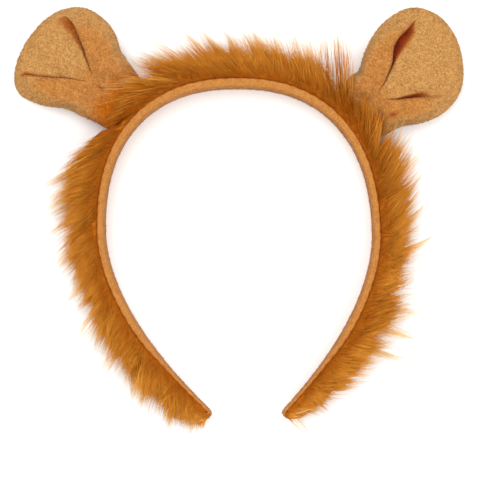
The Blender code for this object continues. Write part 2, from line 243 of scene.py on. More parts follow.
EAR_OUTLINE = (
    # angle, left ear, right ear
    (-180, 0.66, 0.31),
    (-165, 0.70, 0.33),
    (-150, 0.73, 0.37),
    (-135, 0.58, 0.37),
    (-120, 0.52, 0.34),
    (-105, 0.51, 0.32),
    (-90, 0.545, 0.32),
    (-75, 0.69, 0.365),
    (-60, 0.83, 0.505),
    (-45, 0.955, 0.68),
    (-30, 1.00, 0.82),
    (-15, 1.00, 0.90),
    (0, 0.99, 0.97),
    (15, 0.99, 1.00),
    (30, 1.00, 0.94),
    (45, 0.95, 0.73),
    (60, 0.71, 0.49),
    (75, 0.51, 0.33),
    (90, 0.445, 0.32),
    (105, 0.44, 0.32),
    (120, 0.455, 0.33),
    (135, 0.52, 0.35),
    (150, 0.64, 0.36),
    (165, 0.67, 0.33),
    (180, 0.66, 0.31),
)

# Each fold of an ear by its place between the pinch, 0, and the rim, 1
EAR_FOLDS = {
    # share of the way out, degrees from the axis, how far folded, width of its valley in
    # degrees, depth of the valley, darkness of the shade painted in the valley and under the lip
    ("left_ear", "low"): (
        (0.00, -44.0, 0.20, 3.0, 0.0000, 0.07),
        (0.10, -44.0, 0.80, 3.5, 0.0003, 0.36),
        (0.20, -41.0, 1.00, 4.0, 0.0005, 0.40),
        (0.31, -39.3, 1.00, 5.0, 0.0007, 0.40),
        (0.42, -38.8, 1.00, 6.0, 0.0008, 0.40),
        (0.54, -37.2, 1.00, 8.0, 0.0009, 0.43),
        (0.69, -36.0, 1.00, 10.0, 0.0009, 0.48),
        (0.80, -34.5, 1.00, 11.0, 0.0008, 0.48),
        (0.87, -31.5, 0.70, 10.0, 0.0005, 0.36),
        (0.93, -28.0, 0.00, 7.0, 0.0000, 0.00),
        (1.00, -27.0, 0.00, 6.0, 0.0000, 0.00),
    ),
    ("left_ear", "high"): (
        (0.00, 27.0, 0.20, 2.0, 0.0000, 0.07),
        (0.12, 30.0, 0.90, 2.5, 0.0004, 0.43),
        (0.24, 29.4, 1.00, 3.0, 0.0006, 0.49),
        (0.36, 30.2, 1.00, 3.0, 0.0006, 0.43),
        (0.49, 31.8, 1.00, 3.0, 0.0006, 0.46),
        (0.61, 32.4, 1.00, 3.0, 0.0006, 0.43),
        (0.74, 32.4, 1.00, 3.0, 0.0005, 0.40),
        (0.86, 32.3, 1.00, 3.5, 0.0005, 0.56),
        (0.91, 32.2, 0.50, 3.0, 0.0002, 0.26),
        (0.95, 32.0, 0.00, 3.0, 0.0000, 0.00),
        (1.00, 32.0, 0.00, 3.0, 0.0000, 0.00),
    ),
    ("right_ear", "low"): (
        (0.00, -29.0, 0.00, 4.0, 0.0000, 0.00),
        (0.14, -29.5, 0.10, 4.0, 0.0002, 0.05),
        (0.25, -34.0, 0.60, 5.0, 0.0006, 0.50),
        (0.35, -34.6, 1.00, 6.5, 0.0011, 0.95),
        (0.46, -34.2, 1.00, 7.0, 0.0011, 0.95),
        (0.56, -34.0, 0.60, 8.0, 0.0006, 0.50),
        (0.64, -34.0, 0.00, 9.0, 0.0001, 0.10),
        (0.72, -34.0, 0.00, 8.0, 0.0000, 0.00),
        (1.00, -34.0, 0.00, 8.0, 0.0000, 0.00),
    ),
    ("right_ear", "high"): (
        (0.00, 27.0, 0.20, 2.0, 0.0000, 0.10),
        (0.10, 26.4, 0.70, 2.2, 0.0004, 0.55),
        (0.20, 24.8, 1.00, 2.5, 0.0006, 0.75),
        (0.30, 26.2, 1.00, 3.0, 0.0008, 0.85),
        (0.40, 27.6, 1.00, 4.0, 0.0011, 0.95),
        (0.52, 31.5, 1.00, 9.0, 0.0017, 1.00),
        (0.60, 32.6, 1.00, 11.5, 0.0020, 1.00),
        (0.67, 31.3, 1.00, 10.5, 0.0017, 1.00),
        (0.74, 28.3, 0.90, 7.5, 0.0011, 0.95),
        (0.81, 26.0, 0.50, 3.5, 0.0005, 0.60),
        (0.87, 25.0, 0.00, 3.0, 0.0000, 0.00),
        (1.00, 25.0, 0.00, 3.0, 0.0000, 0.00),
    ),
}

# Small dents in the ears: the crease beside a pinch, the dimple and pocket at a base
EAR_DENTS = (
    # ear, degrees from the axis, share of the way out, long, wide, turned, depth, darkness of the shade
    # painted in it
    ("left_ear", 180.0, 0.17, 0.0030, 0.0010, -35.0, 0.0006, 0.55),
    ("right_ear", -74.0, 0.57, 0.0030, 0.0014, 10.0, 0.0008, 0.55),
    ("right_ear", -123.0, 0.62, 0.0060, 0.0034, 70.0, 0.0016, 0.85),
)

# The velour's nap: short tufts
EAR_TUFTS = 15000
BAND_TUFTS = 16000
TUFT_LENGTH = 0.0008
TUFT_WIDTH = 0.00034
TUFT_STRAY = 1.1
TUFT_LEAST_RISE = 0.35
TUFTS_FACING_BACK = 0.12
NAP_WAY = (-0.5, 0.2, 0.0)

# The photograph's frame: how far away the camera is, and what lies under its middle
CAMERA_DISTANCE = 1.25
METRES_PER_PIXEL = 0.00045
IMAGE_WIDTH = 478
SENSOR_WIDTH = 0.036
VIEW_CENTRE = (0.0009, -0.0041)
NEAREST_SEEN = 0.01

# The studio
FLOOR_HALF = 2.5
FLOOR_TONE = 0.90
SKY_STRENGTH = 0.97
LIGHT_SIZE = 0.9
LIGHTS = (
    # name, place, power
    ("key light", (-0.30, 0.40, 1.2), 10.4),
    ("fill light", (0.50, -0.35, 1.1), 6.2),
)

# Strands of fur: their roots, how they lean and rise, how long they are and their paths
Strands = namedtuple("Strands", "place section lean forward length line")


# Curves and tables
def smooth(value, low, high):
    """Zero below low, one above high and an even curve between."""
    t = np.clip((np.asarray(value, float) - low) / (high - low), 0.0, 1.0)
    return t * t * (3 - 2 * t)


def from_table(table, place, column):
    """Reads a column of a table at a place by a smooth curve through its rows."""
    rows = np.array(table, float)
    xs, ys = rows[:, 0], rows[:, column]
    slopes = np.gradient(ys, xs)
    place = np.clip(np.asarray(place, float), xs[0], xs[-1])
    at = np.clip(np.searchsorted(xs, place) - 1, 0, len(xs) - 2)
    width = xs[at + 1] - xs[at]
    t = (place - xs[at]) / width
    start = (1 + 2 * t) * (1 - t) ** 2 * ys[at] + t * (1 - t) ** 2 * width * slopes[at]
    end = t * t * (3 - 2 * t) * ys[at + 1] + t * t * (t - 1) * width * slopes[at + 1]
    return start + end


def uneven(points, size, seed):
    """A smooth field between about -1 and 1 that changes over the given size: the mean of
    eight plane waves with random directions and phases."""
    chance = np.random.default_rng(seed)
    ways = chance.normal(size=(8, points.shape[-1]))
    ways /= np.linalg.norm(ways, axis=1)[:, None]
    turns = 2 * math.pi / size * chance.uniform(0.6, 1.5, 8)
    waves = np.sin(points @ (ways * turns[:, None]).T + chance.uniform(0, 2 * math.pi, 8))
    return waves.sum(axis=-1) / 2.8


# The hoop
def half_line(side):
    """One half of the inner line, crown to tip: a squarish round top over a tail that
    curls inwards, moved sideways a little towards the tips."""
    half = INNER_WIDTH / 2
    turn = np.linspace(math.pi / 2, 0, LINE_POINTS)
    top_x = half * np.cos(turn).clip(0) ** (2 / CROWN_SQUARENESS)
    top_y = CROWN_RISE * np.sin(turn) ** (2 / CROWN_SQUARENESS)
    down = np.linspace(0, 1, LINE_POINTS)[1:]
    x = np.concatenate([top_x, half - TAIL_TUCK * down**TAIL_CURL])
    y = np.concatenate([top_y, -TAIL_DROP * down])
    drift = TIP_DRIFT * ((CROWN_RISE - y) / (CROWN_RISE + TAIL_DROP)) ** 2
    points = np.column_stack([side * x + drift, y])
    lengths = np.linalg.norm(np.diff(points, axis=0), axis=1)
    return points, np.concatenate([[0.0], np.cumsum(lengths)])


def whole_line():
    """The inner line from the left tip to the right one, as shares and points."""
    left, left_along = half_line(-1)
    right, right_along = half_line(1)
    left_places = -left_along[::-1] / left_along[-1]
    right_places = right_along[1:] / right_along[-1]
    points = np.concatenate([left[::-1], right[1:]])
    return np.concatenate([left_places, right_places]), points


PLACES, POINTS = whole_line()
HALF_ARC = np.linalg.norm(np.diff(POINTS, axis=0), axis=1).sum() / 2


def hoop_at(place):
    """Points, tangents towards the right tip and outward normals of the inner line."""
    place = np.asarray(place, float)
    step = 0.004
    points = np.stack([np.interp(place, PLACES, POINTS[:, k]) for k in (0, 1)], axis=-1)
    ahead = np.clip(place + step, -1, 1)
    behind = np.clip(place - step, -1, 1)
    chord = [
        np.interp(ahead, PLACES, POINTS[:, k]) - np.interp(behind, PLACES, POINTS[:, k])
        for k in (0, 1)
    ]
    tangents = np.stack(chord, axis=-1)
    tangents /= np.linalg.norm(tangents, axis=-1)[..., None]
    normals = np.stack([-tangents[..., 1], tangents[..., 0]], axis=-1)
    return points, tangents, normals


def hoop_coordinates(flat):
    """The place on the hoop and the distance outside its inner line of flat points."""
    places = np.linspace(-1, 1, 401)
    points, _, normals = hoop_at(places)
    apart = np.linalg.norm(flat[:, None, :] - points[None, :, :], axis=2)
    nearest = apart.argmin(axis=1)
    offset = ((flat - points[nearest]) * normals[nearest]).sum(axis=1)
    return places[nearest], offset


def velour_thickness(place):
    return VELOUR_THICKNESS * from_table(BAND_SECTIONS, np.abs(place), 1)


def backing_thickness(place):
    return BACKING_THICKNESS * from_table(BAND_SECTIONS, np.abs(place), 2)


def band_depth(place):
    return BAND_DEPTH * np.minimum(from_table(BAND_SECTIONS, np.abs(place), 3), 1.0)


def band_back(place):
    """Height of the back edge: on the floor, and rising a little along the tails."""
    return (BAND_DEPTH - band_depth(place)) * 0.5


def backing_face(place):
    """Distance from the inner line to the outer face of the backing."""
    return velour_thickness(place) + SEAM_GAP + backing_thickness(place)


def fur_pile(place):
    """How far the mean tips of the fur stand off the backing."""
    return FUR_PILE * from_table(FUR_REACH, np.abs(place), 1)


def tip_share(place):
    """How much of the full section is left in the rounded tips: a quarter circle."""
    from_tip = (1 - np.abs(place)) * HALF_ARC
    t = np.clip(from_tip / TIP_ROUND, 0, 1)
    return TIP_STUB + (1 - TIP_STUB) * np.sqrt(1 - (1 - t) ** 2)


def frame_shift():
    """From the hoop's own origin to the frame's: the two low corners of the velour band."""
    places = np.linspace(-1, 1, 2001)
    points, _, normals = hoop_at(places)
    outer = points + normals * velour_thickness(places)[:, None]
    solid_low, solid_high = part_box("velour_band")
    across = (solid_low.x + solid_high.x) / 2 - (outer[:, 0].min() + outer[:, 0].max()) / 2
    return np.array([across, solid_high.y - outer[:, 1].max(), 0.0])


SHIFT = frame_shift()


# Meshes from arrays
def mesh_piece(name, points, faces, material, values=None):
    """An object with the given points in the frame, from arrays of faces with equal
    corner counts, and named values on its points."""
    data = bpy.data.meshes.new(name)
    corners = np.concatenate([block.ravel() for block in faces]).astype(np.int32)
    counts = np.concatenate([np.full(len(block), block.shape[1]) for block in faces])
    starts = np.concatenate([[0], np.cumsum(counts)[:-1]]).astype(np.int32)
    data.vertices.add(len(points))
    data.vertices.foreach_set("co", (points + SHIFT).astype(np.float32).ravel())
    data.loops.add(len(corners))
    data.loops.foreach_set("vertex_index", corners)
    data.polygons.add(len(counts))
    data.polygons.foreach_set("loop_start", starts)
    data.update(calc_edges=True)
    data.shade_smooth()
    for label, value in (values or {}).items():
        layer = data.attributes.new(label, "FLOAT", "POINT")
        layer.data.foreach_set("value", np.asarray(value, np.float32).ravel())
    data.materials.append(material)
    piece = bpy.data.objects.new(name, data)
    bpy.context.scene.collection.objects.link(piece)
    return piece


def tube_faces(rings, around, first=0):
    """Quads between closed rings of points, facing out where the rings run anticlockwise
    as seen from the last one."""
    ring = np.arange(rings - 1)[:, None] * around
    k = np.arange(around)[None, :]
    following = (k + 1) % around
    above = ring + around
    quads = np.stack([ring + k, ring + following, above + following, above + k], axis=-1)
    return quads.reshape(-1, 4) + first


def fan_faces(ring_start, around, middle, outward):
    """Triangles from a ring of points to a middle one, turned round for the first end."""
    k = np.arange(around)
    following = (k + 1) % around
    centre = np.full(around, middle)
    if outward:
        return np.stack([ring_start + k, ring_start + following, centre], axis=-1)
    return np.stack([ring_start + following, ring_start + k, centre], axis=-1)


def closed_tube(name, grid, material, values=None):
    """A closed skin over a grid of rings: quads between the rings and a fan of triangles
    from each end ring to its mean point."""
    rings, around, _ = grid.shape
    ends = np.stack([grid[0].mean(axis=0), grid[-1].mean(axis=0)])
    points = np.concatenate([grid.reshape(-1, 3), ends])
    faces = [
        tube_faces(rings, around),
        fan_faces(0, around, rings * around, False),
        fan_faces((rings - 1) * around, around, rings * around + 1, True),
    ]
    if volume(points, faces) < 0:
        faces = [block[:, ::-1] for block in faces]
    shown = {}
    for label, value in (values or {}).items():
        shown[label] = np.concatenate([value.ravel(), [value[0].mean(), value[-1].mean()]])
    return mesh_piece(name, points, faces, material, shown)


def volume(points, faces):
    """Signed volume inside faces: the sum over their triangles of a third of the box
    product of the corners."""
    total = 0.0
    for block in faces:
        a = points[block[:, 0]]
        for k in range(1, block.shape[1] - 1):
            b = points[block[:, k]]
            c = points[block[:, k + 1]]
            total += (a * np.cross(b, c)).sum() / 6
    return total


# Shader expressions
class Value:
    """A socket that can be added, taken away and multiplied with others or with numbers;
    each operation adds one Math node."""

    def __init__(self, tree, socket):
        self.tree = tree
        self.socket = socket

    def _math(self, operation, first, second):
        made = self.tree.nodes.new("ShaderNodeMath")
        made.operation = operation
        for socket, value in zip(made.inputs, (first, second)):
            if isinstance(value, Value):
                self.tree.links.new(value.socket, socket)
            else:
                socket.default_value = value
        return Value(self.tree, made.outputs[0])

    def __add__(self, other):
        return self._math("ADD", self, other)

    __radd__ = __add__

    def __sub__(self, other):
        return self._math("SUBTRACT", self, other)

    def __rsub__(self, other):
        return self._math("SUBTRACT", other, self)

    def __mul__(self, other):
        return self._math("MULTIPLY", self, other)

    __rmul__ = __mul__

    def clipped(self):
        return self._math("MINIMUM", self._math("MAXIMUM", self, 0.0), 1.0)


class Finish:
    """A material on one Principled BSDF, with one method for any other node."""

    def __init__(self, name, roughness, **uniform):
        self.material = bpy.data.materials.new(name)
        self.material.use_nodes = True
        self.tree = self.material.node_tree
        self.shader = self.tree.nodes["Principled BSDF"]
        self.shader.inputs["Roughness"].default_value = roughness
        self.shader.inputs["Metallic"].default_value = 0.0
        for socket, value in uniform.items():
            self.shader.inputs[socket.replace("_", " ").title()].default_value = value

    def node(self, kind, settings=None, **sockets):
        """A node of a kind, its settings set first, then its sockets by name or number."""
        made = self.tree.nodes.new(kind)
        for setting, value in (settings or {}).items():
            setattr(made, setting, value)
        for name, value in sockets.items():
            key = int(name[1:]) if name[0] == "n" and name[1:].isdigit() else name
            socket = made.inputs[key]
            if isinstance(value, Value):
                self.tree.links.new(value.socket, socket)
            else:
                socket.default_value = value
        return made

    def output(self, node, name=0):
        return Value(self.tree, node.outputs[name])

    def attribute(self, name):
        read = self.node("ShaderNodeAttribute", {"attribute_name": name})
        return self.output(read, "Fac")

    def noise(self, scale, detail):
        place = self.output(self.node("ShaderNodeTexCoord"), "Object")
        made = self.node("ShaderNodeTexNoise", Vector=place, Scale=scale, Detail=detail)
        return self.output(made, "Fac")

    def blend(self, share, first, second):
        """A colour between two, which may be colours or links."""
        made = self.node("ShaderNodeMix", {"data_type": "RGBA"}, n0=share)
        for index, value in ((6, first), (7, second)):
            if isinstance(value, Value):
                self.tree.links.new(value.socket, made.inputs[index])
            else:
                made.inputs[index].default_value = (*value, 1)
        return self.output(made, 2)

    def colour(self, value):
        self.tree.links.new(value.socket, self.shader.inputs["Base Color"])

    def bump(self, height, strength, distance):
        made = self.node("ShaderNodeBump", Strength=strength, Distance=distance, Height=height)
        self.tree.links.new(made.outputs["Normal"], self.shader.inputs["Normal"])


# Colours, as linear shares of red, green and blue
VELOUR_OPEN = (0.50, 0.277, 0.092)
VELOUR_DEEP = (0.36, 0.154, 0.034)
VELOUR_NECK = (0.42, 0.122, 0.003)
VELOUR_NECK_DEEP = (0.32, 0.076, 0.001)
# The fold colour below is painted shade: the dark red brown put in the ears' fold valleys, under their
# lips and in their dents, and along the band's seam.
VELOUR_FOLD_SHADE = (0.19, 0.018, 0.001)
FUR_ROOT = (0.31, 0.074, 0.002)
FUR_DEEP = (0.42, 0.112, 0.004)
FUR_PALE = (0.82, 0.360, 0.045)
# The pale tip colour is partly the fur's own pale ends and partly painted highlight where the tips glow
# against the white ground.
FUR_TIP = (0.88, 0.62, 0.30)
FLAP_WARMTH = 0.44
BAND_WARMTH = 0.44
SEAM_SHADE_DARKNESS = 0.9


def velour_finish():
    """Soft short-piled tan velour: mottled by its nap, orange where warmth is one and
    dark red brown where the painted shade of folds, dents and the seam is one."""
    finish = Finish("tan velour", 0.92, sheen_weight=0.08, sheen_roughness=0.5)
    finish.shader.inputs["Specular IOR Level"].default_value = 0.10
    coarse = finish.noise(420.0, 2.0)
    fine = finish.noise(1500.0, 2.0)
    mottle = ((coarse - 0.5) * 0.7 + (fine - 0.5) * 2.6 + 0.5).clipped()
    warmth = finish.attribute("warmth")
    deep = finish.blend(warmth, VELOUR_DEEP, VELOUR_NECK_DEEP)
    light = finish.blend(warmth, VELOUR_OPEN, VELOUR_NECK)
    ground = finish.blend(mottle, deep, light)
    finish.colour(finish.blend(finish.attribute("painted_shade"), ground, VELOUR_FOLD_SHADE))
    finish.bump(fine, 0.7, 0.0004)
    return finish.material


def fur_finish(name):
    """Fur: dark at the root, orange brown along the hair and pale at the tip, the tip partly
    its own colour and partly a painted highlight, each hair its own tone."""
    finish = Finish(name, 0.8)
    finish.shader.inputs["Specular IOR Level"].default_value = 0.06
    along = finish.attribute("along")
    light = (finish.attribute("tone") * 0.75 + along * 0.50 - 0.08).clipped()
    body = finish.blend(light, FUR_DEEP, FUR_PALE)
    rooted = finish.blend((along * 2.4).clipped(), FUR_ROOT, body)
    finish.colour(finish.blend(((along - 0.68) * 2.2).clipped(), rooted, FUR_TIP))
    return finish.material


# The velour band
def squarish_oval(around, inner_corner, outer_corner):
    """Points round a squarish oval from -1 to 1, its inner and outer side each as square
    as their own corner says: signed powers of cosine and sine, closer along the sides."""
    turn = np.linspace(0, 2 * math.pi, around, endpoint=False)
    turn = turn - 0.19 * np.sin(4 * turn)
    power = 2 / np.where(np.cos(turn) < 0, inner_corner, outer_corner)
    x = np.sign(np.cos(turn)) * np.abs(np.cos(turn)) ** power
    y = np.sign(np.sin(turn)) * np.abs(np.sin(turn)) ** power
    return x, y


def along_places(count):
    """Places along the whole hoop, close together in the rounded tips."""
    end = TIP_ROUND / HALF_ARC
    tip = 1 - end * (1 - np.cos(np.linspace(0, math.pi / 2, 9)[:-1]))
    straight = 1 - end * 1.1
    middle = np.linspace(-straight, straight, count)
    return np.concatenate([-tip, middle, tip[::-1]])


def velour_band(material):
    """The padded strip: a squarish oval section carried along the hoop, with a pucker at
    each stitch of the seam and an uneven face, wrapped round the end of the fur strip."""
    places = along_places(BAND_RINGS)
    points, _, normals = hoop_at(places)
    from_tip = (1 - np.abs(places)) * HALF_ARC
    wrapped = 1 - smooth(from_tip, TIP_WRAP * 0.7, TIP_WRAP * 1.3)
    thick = velour_thickness(places)
    wide = (thick + (backing_face(places) - thick) * wrapped + SEAM_OVERLAP / 2)[:, None]
    depth = band_depth(places)[:, None]
    share = tip_share(places)[:, None]
    across, up = squarish_oval(BAND_AROUND, *VELOUR_CORNERS)
    offset = wide / 2 * (1 + across * share)
    seam_side = smooth(offset / wide, 0.35, 1.0) * (1 - wrapped[:, None])
    stitch = np.abs(np.sin(math.pi * places * HALF_ARC / STITCH_SPACING))[:, None] ** 0.6
    drawn_in = seam_side * (1 - stitch)
    flat = points[:, None, :] + normals[:, None, :] * (offset - PUCKER * drawn_in)[..., None]
    rise = 0.5 * depth * up * share * (1 - 0.02 * drawn_in)
    level = band_back(places)[:, None] + depth / 2 + rise
    grid = np.concatenate([flat, level[..., None]], axis=2)
    grid[..., 2] = np.maximum(level + 0.00012 * uneven(grid, 0.006, seed=3) * np.sign(rise), 0.0)
    # Painted shade in the seam between the velour and the fur: a thin line along its edge, darker and
    # deeper orange, as dark as the seam table gives along the hoop.
    from_seam = wide - offset
    at_seam = (1 - smooth(from_seam, 0.0001, 0.0007)) * (1 - wrapped[:, None])
    dark = from_table(SEAM_SHADE, places, 1)[:, None]
    painted_shade = SEAM_SHADE_DARKNESS * dark * at_seam * (0.8 + 0.2 * uneven(grid, 0.03, seed=4))
    warmth = BAND_WARMTH + 0.5 * at_seam
    values = {"warmth": np.clip(warmth, 0, 1), "painted_shade": np.clip(painted_shade, 0, 1)}
    return closed_tube("velour_hoop", grid, material, values), grid, values


# The ears
def ear_frame(place, standoff, tilt):
    """The pinch point of an ear and the direction of its axis, in degrees."""
    points, _, normals = hoop_at([place])
    pinch = points[0] + normals[0] * standoff
    return pinch, math.degrees(math.atan2(normals[0][1], normals[0][0])) + tilt


def ear_radius(angle, reach, column):
    """Distance from the pinch to the ear's outline, at degrees from its axis."""
    turned = (np.asarray(angle, float) + 180) % 360 - 180
    return reach * from_table(EAR_OUTLINE, turned, column)


def lip(tuck, over, roll, low, high):
    """The rounded lip of a fold from under the flap, out over the panel and back on top:
    a quadratic curve in angle and height. Gives shares from one end to the other."""
    t = np.linspace(0, 1, LIP_STEPS + 2)[1:-1]
    middle = (-4 * over - tuck - roll) / 2
    angle = (1 - t) ** 2 * tuck + 2 * t * (1 - t) * middle + t**2 * roll
    height = (1 - t) ** 2 * low + (1 - (1 - t) ** 2) * high
    return angle, height


def fold_at(name, side, share):
    """One fold's degrees, folded share, valley width, depth and darkness at a share."""
    rows = EAR_FOLDS[(name, side)]
    return [float(from_table(rows, share, column)) for column in range(1, 6)]


def ear_front_ring(name, share):
    """The degrees, heights and painted fold shade of one ring of the ear's front: the sunk panel
    between two lips, then round the puffed flaps and the neck."""
    low, low_folded, low_width, low_depth, low_dark = fold_at(name, "low", share)
    high, high_folded, high_width, high_depth, high_dark = fold_at(name, "high", share)
    low_tuck, high_tuck = (-1.0 + (FOLD_TUCK + 1.0) * k for k in (low_folded, high_folded))
    low_over, high_over = (-2.0 + (FOLD_OVERHANG + 2.0) * k for k in (low_folded, high_folded))
    rim = math.sqrt(max(0.0, 1 - share**5))
    grown = float(smooth(share, 0.0, 0.40))
    across = np.linspace(0, 1, PANEL_STEPS)
    panel_angles = low - low_tuck + (high - low + low_tuck + high_tuck) * across
    from_low, from_high = panel_angles - low, high - panel_angles
    low_valley = 1 - smooth(from_low, low_over, low_over + low_width)
    high_valley = 1 - smooth(from_high, high_over, high_over + high_width)
    panel = PINCH_RISE + (PANEL_RISE - PINCH_RISE) * float(smooth(share, 0.05, 0.60))
    panel = panel + PANEL_CROWN * np.sin(math.pi * across) * grown
    panel = rim * (panel - low_depth * low_valley - high_depth * high_valley)
    outer = np.linspace(high + FOLD_ROLL, 360 + low - FOLD_ROLL, OUTER_STEPS)
    side = 180 - np.abs(outer - 180)
    flap_height = FLAP_RISE + (PANEL_RISE - FLAP_RISE) * float(smooth(share, 0.78, 1.0))
    raised = flap_height + (NECK_RISE - flap_height) * smooth(side, 75, 140)
    flap = rim * (PINCH_RISE + (raised - PINCH_RISE) * grown)
    high_angle, high_height = lip(high_tuck, high_over, FOLD_ROLL, panel[-1], flap[0])
    low_angle, low_height = lip(low_tuck, low_over, FOLD_ROLL, panel[0], flap[-1])
    angles = np.concatenate([panel_angles, high + high_angle, outer, 360 + low - low_angle[::-1]])
    heights = np.concatenate([panel, high_height, flap, low_height[::-1]])
    # Painted shade: dark in each fold's valley beside its lip, fading out over the panel.
    low_shaded = 1 - smooth(from_low, low_over + 0.45 * low_width, low_over + 1.15 * low_width)
    high_shaded = 1 - smooth(
        from_high, high_over + 0.45 * high_width, high_over + 1.15 * high_width
    )
    dark = np.maximum(low_dark * low_shaded, high_dark * high_shaded)
    # Painted shade under each lip, darkest where it folds under.
    under = np.linspace(1.0, 0.0, LIP_STEPS) ** 2
    painted_shade = np.concatenate([dark, high_dark * under, np.zeros(OUTER_STEPS), low_dark * under[::-1]])
    open_panel = np.concatenate([np.ones(PANEL_STEPS), np.zeros(OUTER_STEPS + 2 * LIP_STEPS)])
    return angles, heights, painted_shade, open_panel


def dents(name, pinch, axis, reach, column, flat):
    """How deep an ear's small dents are at flat points, and how dark the shade painted in them: a bell
    over each oval.
    """
    depth = np.zeros(flat.shape[:-1])
    dark = np.zeros(flat.shape[:-1])
    for ear_name, degrees, share, long, wide, turned, deep, black in EAR_DENTS:
        if ear_name != name:
            continue
        out = float(ear_radius(degrees, reach, column)) * share
        world = math.radians(degrees + axis)
        apart = flat - (pinch + out * np.array([math.cos(world), math.sin(world)]))
        turn = math.radians(turned)
        u = (apart[..., 0] * math.cos(turn) + apart[..., 1] * math.sin(turn)) / long
        v = (apart[..., 1] * math.cos(turn) - apart[..., 0] * math.sin(turn)) / wide
        bell = np.exp(-(u**2 + v**2) * 1.5)
        depth += deep * bell
        dark = np.maximum(dark, black * bell)
    return depth, dark


def seated(ear, angles, share):
    """Flat points of the ear at degrees and shares of its outline, drawn in towards the
    pinch where they would lie in the backing that the ear is sewn to."""
    _, place, standoff, reach, tilt, column = ear
    pinch, axis = ear_frame(place, standoff, tilt)
    radius = ear_radius(angles, reach, column) * share
    world = np.radians(angles + axis)
    way = np.stack([np.cos(world), np.sin(world)], axis=-1)
    turned = np.abs((angles + 180) % 360 - 180)
    near = turned > 60
    for _ in range(SEAT_PASSES):
        flat = pinch + way[near] * radius[near][:, None]
        on_hoop, offset = hoop_coordinates(flat)
        seat = backing_face(on_hoop) + EAR_GAP
        drawn = radius[near] * (standoff - seat) / (standoff - offset)
        radius[near] = np.where(offset < seat, drawn, radius[near])
    return pinch + way * radius[..., None]


def ear(row, material):
    """A stuffed velour ear: rings from the pinch out to the rim over the front, and back
    in over the rounded back, each at angle and height by the fold's section."""
    name, place, standoff, reach, tilt, column = row
    shares = 1 - (1 - np.linspace(0.01, 1, FRONT_RINGS)) ** 1.5
    rings = [ear_front_ring(name, share) for share in shares]
    angles, heights, painted_shade, panel = (np.stack([ring[k] for ring in rings]) for k in range(4))
    back_shares = np.cos(np.linspace(0, math.pi / 2, BACK_RINGS + 1)[1:-1]) ** 0.8
    back_angles = np.repeat(angles[-1:], len(back_shares), axis=0)
    depth = -EAR_BACK * np.sqrt(1 - back_shares**3)
    back_heights = np.repeat(depth[:, None], angles.shape[1], axis=1)
    angles = np.concatenate([angles, back_angles])
    heights = np.concatenate([heights, back_heights])
    painted_shade = np.concatenate([painted_shade, np.zeros_like(back_angles)])
    panel = np.concatenate([panel, np.zeros_like(back_angles)])
    share = np.concatenate([shares, back_shares])[:, None]
    flat = seated(row, angles, share)
    front = (np.arange(len(angles)) < FRONT_RINGS)[:, None]
    inside = 1 - smooth(share, 0.90, 1.0)
    around = np.concatenate([flat, heights[..., None]], axis=-1)
    puff = sum(height * uneven(around, size, seed) for height, size, seed in EAR_PUFF)
    turned = np.abs((angles + 180) % 360 - 180)
    neck = smooth(turned, 70, 130)
    gather = GATHER_HEIGHT * uneven(angles[..., None] / GATHER_DEGREES, GATHER_SIZE, seed=23)
    gather = gather * neck * smooth(share, 0.10, 0.30) * (1 - smooth(share, 0.50, 0.95))
    pinch, axis = ear_frame(place, standoff, tilt)
    dent, dark = dents(name, pinch, axis, reach, column, flat)
    heights = heights + (puff + gather) * inside * np.where(front, 1, -0.6) - dent * front
    middle = BAND_DEPTH * EAR_MIDDLE_SHARE
    grid = np.concatenate([flat, (middle + heights)[..., None]], axis=-1)
    reached = share * ear_radius(angles, reach, column)
    at_neck = smooth(turned, 95, 150) * smooth(reached, 0.0, 0.012)
    around_pinch = 1 - smooth(reached, 0.002, 0.013)
    flap = FLAP_WARMTH * (1 - panel) * (1 - smooth(share, 0.62, 0.88))
    warmth = np.clip(np.maximum(flap, np.maximum(at_neck, 0.40 * around_pinch)), 0, 1)
    # The dents' painted shade joins the folds' on the front, and all of it also warms the colour
    # towards deep orange.
    painted_shade = np.clip(np.maximum(painted_shade, dark * front), 0, 1)
    values = {"warmth": np.maximum(warmth, np.minimum(1.6 * painted_shade, 1)), "painted_shade": painted_shade}
    return closed_tube(name + "_velour", grid, material, values), grid, values


def ear_roof(flat):
    """The height that the front of an ear reaches over flat points, and whether they lie
    within an ear's outline and a margin."""
    roof = np.zeros(len(flat))
    inside = np.zeros(len(flat), bool)
    for _, place, standoff, reach, tilt, column in EARS:
        pinch, axis = ear_frame(place, standoff, tilt)
        apart = flat - pinch
        angle = np.degrees(np.arctan2(apart[:, 1], apart[:, 0])) - axis
        share = np.linalg.norm(apart, axis=1) / ear_radius(angle, reach, column)
        side = np.abs((angle + 180) % 360 - 180)
        rim = np.sqrt(np.clip(1 - np.minimum(share, 1) ** 5, 0, 1))
        top = FLAP_RISE + (NECK_RISE - FLAP_RISE) * smooth(side, 75, 140)
        here = share < 1.04
        roof = np.where(here, BAND_DEPTH * EAR_MIDDLE_SHARE + rim * top + 0.0004, roof)
        inside |= here
    return roof, inside


